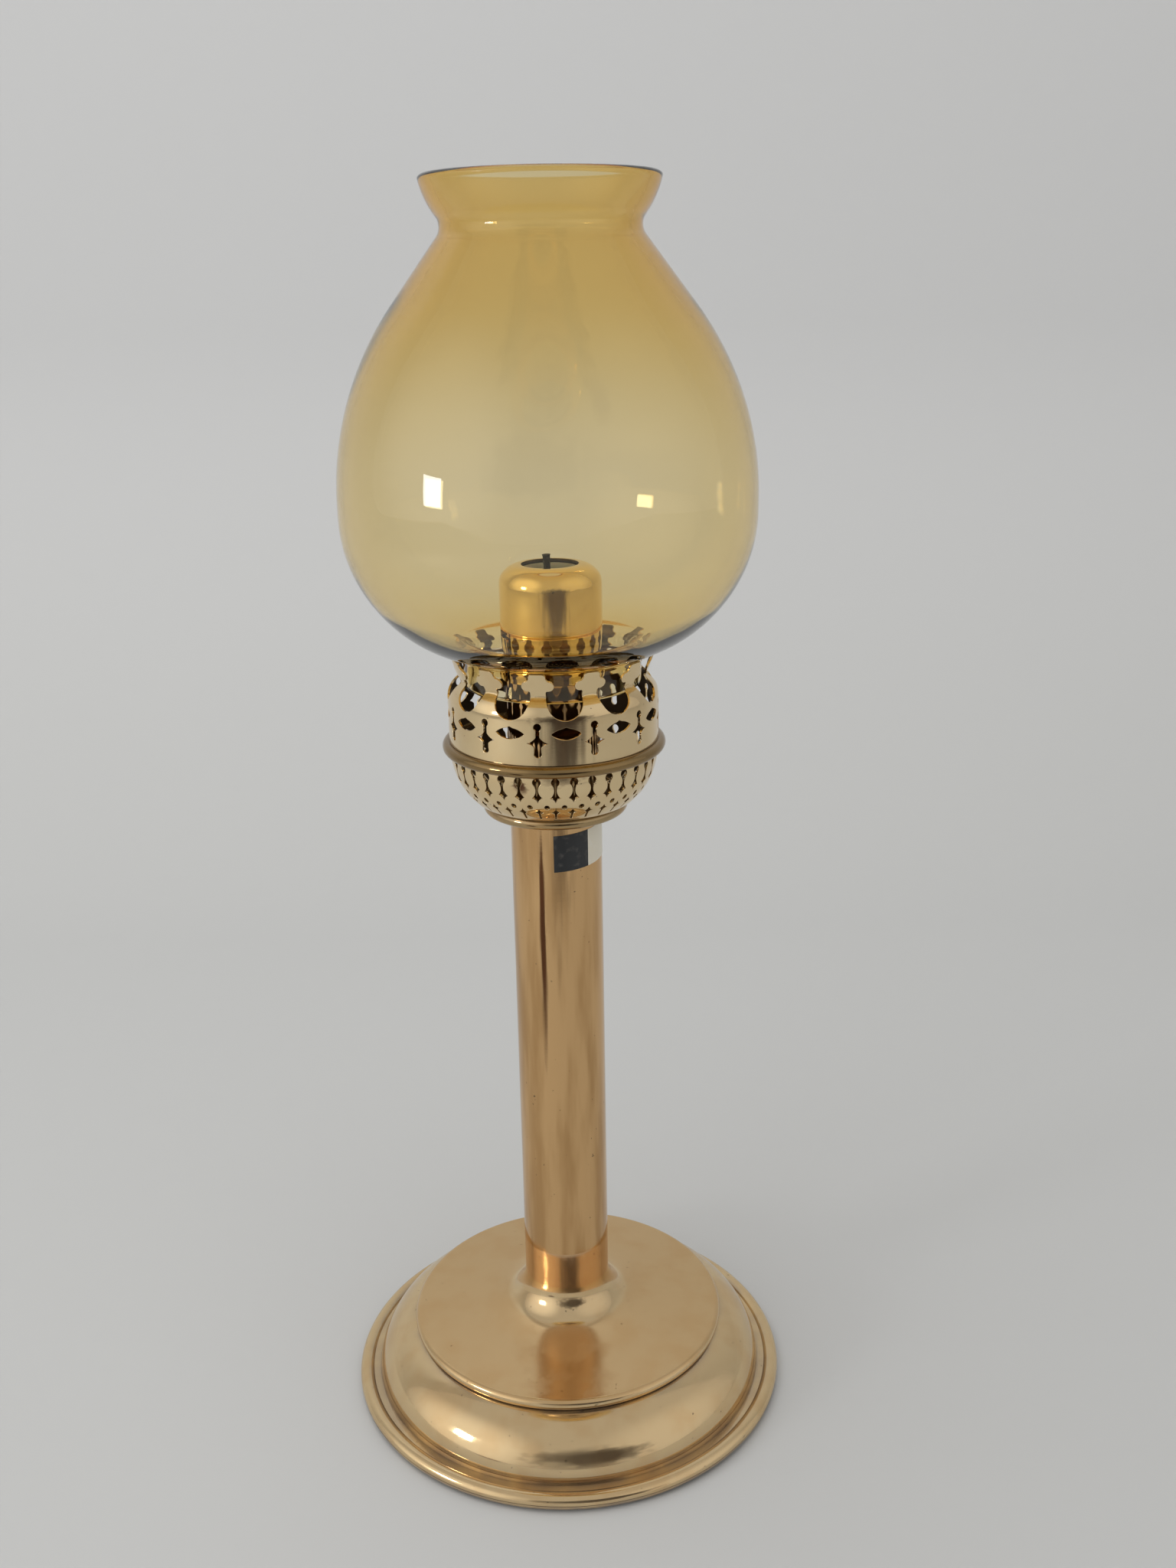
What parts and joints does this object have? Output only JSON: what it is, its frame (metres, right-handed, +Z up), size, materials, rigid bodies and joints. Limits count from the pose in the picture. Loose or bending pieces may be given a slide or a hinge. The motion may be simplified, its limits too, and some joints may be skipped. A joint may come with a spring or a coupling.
{
  "type": "spring-fed candle lamp",
  "caption": "Brass candle lamp with a weighted round foot, a plain tube that feeds its candle by a spring, a pierced gallery with spring fingers, and a lift-off amber glass shade.",
  "frame": {"origin": "on the lamp's axis, at the surface that it stands on", "axes": "+Z up along the candle tube; -Y towards the side that the picture shows"},
  "size_m": [0.1334, 0.1334, 0.3568],
  "materials": {
    "brass": "polished, lightly tarnished in the grooves",
    "bright_brass": "bright polished, a redder gold than the rest",
    "steel": "plain bright",
    "iron": "as cast",
    "felt": "pressed felt",
    "wax": "ivory candle wax",
    "wick": "charred braided cotton",
    "amber_glass": "clear blown amber glass, fire polished"
  },
  "bodies": {
    "stand": {"foot": "brass", "base_plate": "brass", "felt_pad": "felt", "ballast": "iron", "stud": "steel", "washer": "steel", "nut": "steel", "ferrule": "bright_brass", "candle_tube": "brass", "bayonet_pins": "brass", "spring": "steel", "gallery_collar": "brass", "gallery_bowl": "brass", "gallery_bead": "brass", "gallery_crown": "brass"},
    "cap": {"candle_cap": "bright_brass"},
    "candle": {"candle": "wax", "wick": "wick", "follower": "brass"},
    "shade": {"glass_shade": "amber_glass"}
  },
  "joints": [
    {"name": "cap_twist", "type": "hinge", "parent": "stand", "child": "cap", "pos_m": [0, 0, 0.24], "axis": [0, 0, 1], "range_deg": [-25, 0]},
    {"name": "candle_feed", "type": "slide", "parent": "stand", "child": "candle", "axis": [0, 0, 1], "range_m": [-0.03, 0], "stiffness_N_per_m": 60, "springref_m": 0.05, "deforming": ["spring"]},
    {"name": "shade_lift", "type": "slide", "parent": "stand", "child": "shade", "axis": [0, 0, 1], "range_m": [0, 0.045]}
  ]
}
